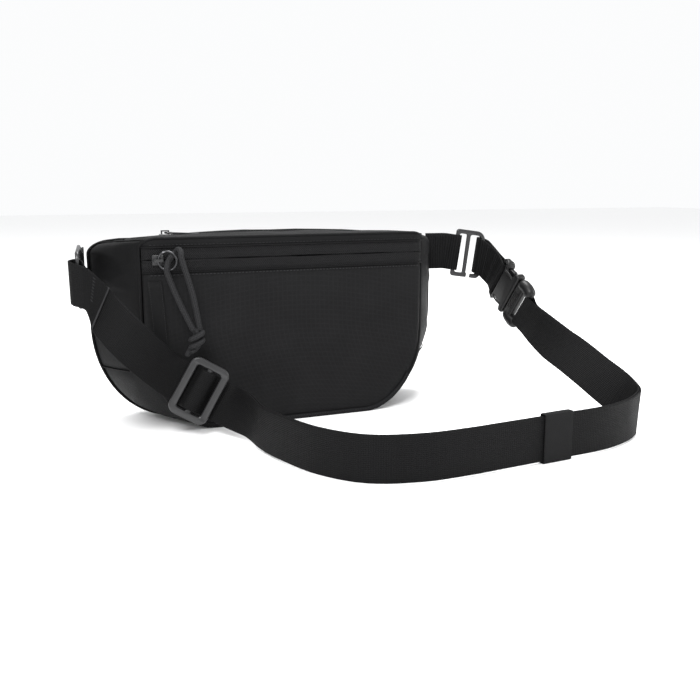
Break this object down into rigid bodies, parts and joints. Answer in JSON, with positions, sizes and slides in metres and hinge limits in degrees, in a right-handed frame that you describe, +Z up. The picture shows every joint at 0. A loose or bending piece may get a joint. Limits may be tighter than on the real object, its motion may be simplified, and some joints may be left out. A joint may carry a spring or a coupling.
{
  "type": "waist pack",
  "caption": "Waist pack: a padded pouch with a rear slide fastener, on an adjustable webbing belt with slotted hooks, a tri-glide and a side-release buckle.",
  "frame": {"origin": "centre of the pouch's flat bottom, on the ground", "axes": "+X along the pouch towards the buckle side, +Y away from the wearer, +Z up"},
  "size_m": [0.4751, 0.3111, 0.1803],
  "materials": {
    "ripstop": "black ripstop cloth, fine raised grid",
    "cloth": "black plain-weave pack cloth",
    "foam": "black lined foam",
    "webbing": "black ribbed webbing",
    "band": "black smooth elastic band",
    "tape": "black woven tape",
    "coil": "black moulded coil",
    "metal": "satin black over metal",
    "plastic": "black, lightly satin",
    "cord": "black braided cord"
  },
  "bodies": {
    "pack": {"back_pad": "foam", "back_panel": "ripstop", "yoke_strip": "cloth", "bottom_gusset": "cloth", "wing_left": "cloth", "wing_right": "cloth", "top_yoke": "cloth", "top_corner_left": "cloth", "top_corner_right": "cloth", "top_end_left": "tape", "top_end_right": "tape", "rear_tape_low": "tape", "rear_tape_high": "tape", "rear_coil_low": "coil", "rear_coil_high": "coil", "top_tape_rear": "tape", "top_coil_rear": "coil", "tag": "webbing", "tab_left": "webbing", "tab_right": "webbing", "belt_outer": "webbing", "belt_inner": "webbing", "buckle_loop": "webbing", "buckle_female": "plastic", "tri_glide": "metal"},
    "front": {"front_shell": "cloth", "top_tape_front": "tape", "top_coil_front": "coil"},
    "rear_slider": {"rear_slider": "metal"},
    "rear_pull": {"pull_ring": "metal", "pull_cord": "cord", "cord_knot": "cord"},
    "top_slider": {"top_slider": "metal"},
    "top_pull": {"top_pull": "metal"},
    "male": {"buckle_male": "plastic", "belt_return": "webbing"},
    "prong_upper": {"prong_upper": "plastic"},
    "prong_lower": {"prong_lower": "plastic"},
    "keeper": {"keeper": "band"},
    "hook_left": {"hook_left": "metal"},
    "hook_right": {"hook_right": "metal"}
  },
  "joints": [
    {"name": "main_mouth", "type": "hinge", "parent": "pack", "child": "front", "pos_m": [0, 0.0185, 0], "axis": [-1, 0, 0], "range_deg": [0, 14]},
    {"name": "rear_zip_slide", "type": "slide", "parent": "pack", "child": "rear_slider", "axis": [1, 0, 0], "range_m": [0, 0.232]},
    {"name": "rear_pull_swing", "type": "hinge", "parent": "rear_slider", "child": "rear_pull", "pos_m": [-0.1245, -0.04915, 0.157], "axis": [0, 0, 1], "range_deg": [-25, 3]},
    {"name": "top_zip_slide", "type": "slide", "parent": "pack", "child": "top_slider", "axis": [1, 0, 0], "range_m": [0, 0.215]},
    {"name": "top_pull_swing", "type": "hinge", "parent": "top_slider", "child": "top_pull", "pos_m": [-0.1075, 0.006, 0.17805], "axis": [0, -1, 0], "range_deg": [0, 150]},
    {"name": "male_release", "type": "slide", "parent": "pack", "child": "male", "axis": [0.079, -0.7909, -0.6069], "range_m": [0, 0.024], "deforming": ["belt_return", "prong_upper", "prong_lower"]},
    {"name": "prong_upper_flex", "type": "hinge", "parent": "male", "child": "prong_upper", "pos_m": [0.24365, -0.0581, 0.12141], "axis": [-0.9961, -0.0868, -0.0166], "range_deg": [0, 10], "stiffness_Nm_per_rad": 0.8},
    {"name": "prong_lower_flex", "type": "hinge", "parent": "male", "child": "prong_lower", "pos_m": [0.24229, -0.03726, 0.09408], "axis": [0.9961, 0.0868, 0.0166], "range_deg": [0, 10], "stiffness_Nm_per_rad": 0.8},
    {"name": "keeper_slide", "type": "slide", "parent": "pack", "child": "keeper", "axis": [0.9964, 0.0849, 0], "range_m": [-0.012, 0.012]},
    {"name": "hook_left_rock", "type": "hinge", "parent": "pack", "child": "hook_left", "pos_m": [-0.18705, -0.01456, 0.14519], "axis": [-0.0218, -0.1375, 0.9903], "range_deg": [-3, 1]},
    {"name": "hook_right_rock", "type": "hinge", "parent": "pack", "child": "hook_right", "pos_m": [0.20571, 0.01018, 0.15019], "axis": [0.1356, -0.0313, 0.9903], "range_deg": [-3, 3]}
  ]
}
